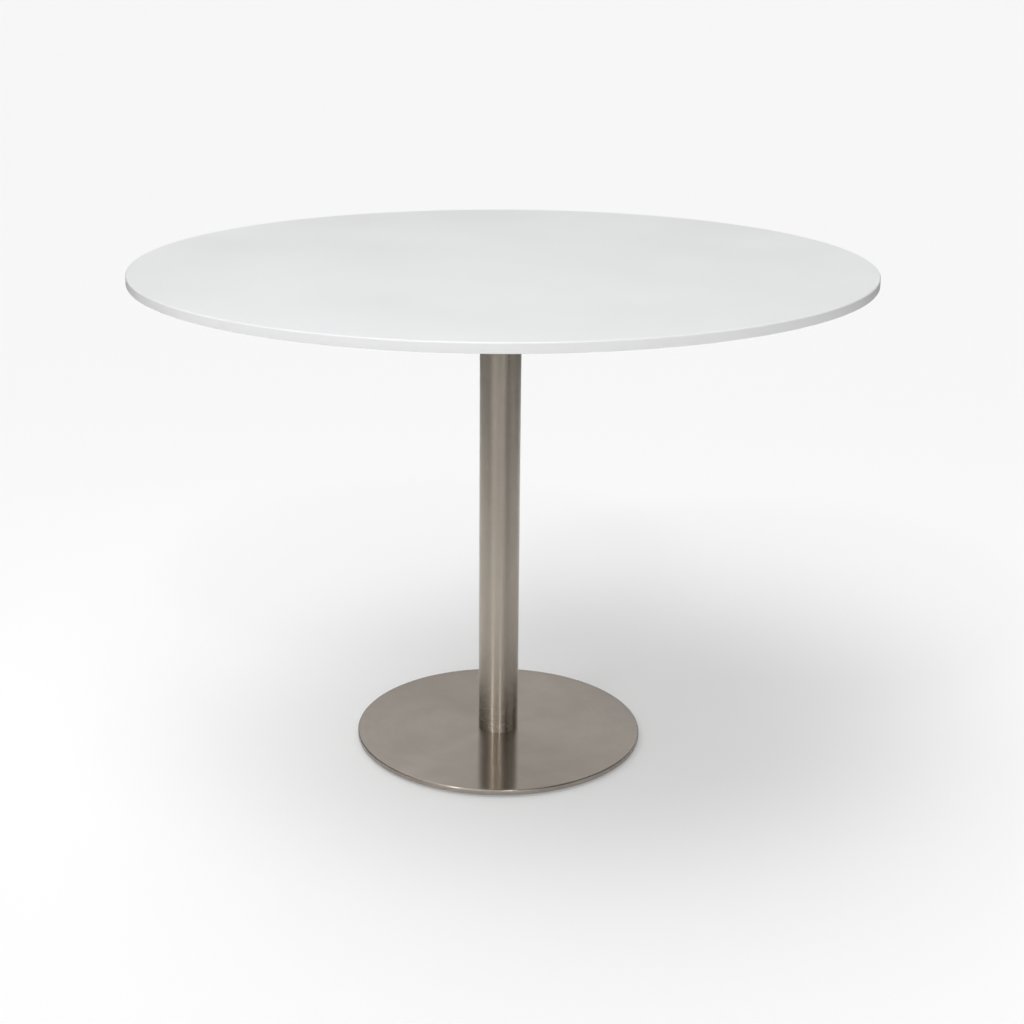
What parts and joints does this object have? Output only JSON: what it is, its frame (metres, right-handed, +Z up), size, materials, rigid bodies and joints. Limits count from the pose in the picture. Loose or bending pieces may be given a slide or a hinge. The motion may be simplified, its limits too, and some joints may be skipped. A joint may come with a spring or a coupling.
{
  "type": "bistro table",
  "caption": "Round pedestal bistro table: thin white laminated top, brushed stainless column and flat brushed disc base on adjustable glides.",
  "frame": {"origin": "on the floor under the centre of the column", "axes": "+Z up through the column to the top, -Y to the front"},
  "size_m": [1.0499, 1.05, 0.735],
  "materials": {
    "laminate": "white high-pressure laminate, fine matt texture",
    "backing": "white balancing laminate, matt",
    "edge_band": "white ABS edge band, satin",
    "board": "raw particle board",
    "brushed_column": "stainless, brushed round the tube",
    "brushed_disc": "stainless, brushed in circles",
    "spider_coat": "black powder coat on a casting",
    "plate_paint": "black paint on steel plate",
    "turned_steel": "turned mild steel",
    "zinc_steel": "bright zinc plate",
    "black_steel": "black oxide",
    "glide_nylon": "black nylon, moulded"
  },
  "bodies": {
    "table": {"top_face_laminate": "laminate", "top_core_board": "board", "top_backing_laminate": "backing", "top_edge_band": "edge_band", "threaded_inserts": "zinc_steel", "top_spider": "spider_coat", "top_screws": "zinc_steel", "top_screw_washers": "zinc_steel", "spider_screws": "black_steel", "head_plug": "turned_steel", "column_tube": "brushed_column", "foot_plug": "turned_steel", "base_screws": "black_steel", "base_cover": "brushed_disc", "base_weight_plate": "plate_paint"},
    "glide_pad_back_right_body": {"glide_pad_back_right": "glide_nylon"},
    "glide_stud_back_right_body": {"glide_stud_back_right": "zinc_steel"},
    "glide_pad_back_left_body": {"glide_pad_back_left": "glide_nylon"},
    "glide_stud_back_left_body": {"glide_stud_back_left": "zinc_steel"},
    "glide_pad_front_left_body": {"glide_pad_front_left": "glide_nylon"},
    "glide_stud_front_left_body": {"glide_stud_front_left": "zinc_steel"},
    "glide_pad_front_right_body": {"glide_pad_front_right": "glide_nylon"},
    "glide_stud_front_right_body": {"glide_stud_front_right": "zinc_steel"}
  },
  "joints": [
    {"name": "glide_extend_back_right", "type": "slide", "parent": "table", "child": "glide_pad_back_right_body", "axis": [0, 0, -1], "range_m": [0, 0.00313]},
    {"name": "glide_turn_back_right", "type": "hinge", "parent": "glide_pad_back_right_body", "child": "glide_stud_back_right_body", "pos_m": [0.13081, 0.13081, 0.002], "axis": [0, 0, -1], "range_deg": [0, 900]},
    {"name": "glide_extend_back_left", "type": "slide", "parent": "table", "child": "glide_pad_back_left_body", "axis": [0, 0, -1], "range_m": [0, 0.00313]},
    {"name": "glide_turn_back_left", "type": "hinge", "parent": "glide_pad_back_left_body", "child": "glide_stud_back_left_body", "pos_m": [-0.13081, 0.13081, 0.002], "axis": [0, 0, -1], "range_deg": [0, 900]},
    {"name": "glide_extend_front_left", "type": "slide", "parent": "table", "child": "glide_pad_front_left_body", "axis": [0, 0, -1], "range_m": [0, 0.00313]},
    {"name": "glide_turn_front_left", "type": "hinge", "parent": "glide_pad_front_left_body", "child": "glide_stud_front_left_body", "pos_m": [-0.13081, -0.13081, 0.002], "axis": [0, 0, -1], "range_deg": [0, 900]},
    {"name": "glide_extend_front_right", "type": "slide", "parent": "table", "child": "glide_pad_front_right_body", "axis": [0, 0, -1], "range_m": [0, 0.00313]},
    {"name": "glide_turn_front_right", "type": "hinge", "parent": "glide_pad_front_right_body", "child": "glide_stud_front_right_body", "pos_m": [0.13081, -0.13081, 0.002], "axis": [0, 0, -1], "range_deg": [0, 900]}
  ],
  "couplings": [
    {"joint": "glide_turn_back_right", "follows": "glide_extend_back_right", "rad_per_m": 5026.5},
    {"joint": "glide_turn_back_left", "follows": "glide_extend_back_left", "rad_per_m": 5026.5},
    {"joint": "glide_turn_front_left", "follows": "glide_extend_front_left", "rad_per_m": 5026.5},
    {"joint": "glide_turn_front_right", "follows": "glide_extend_front_right", "rad_per_m": 5026.5}
  ]
}
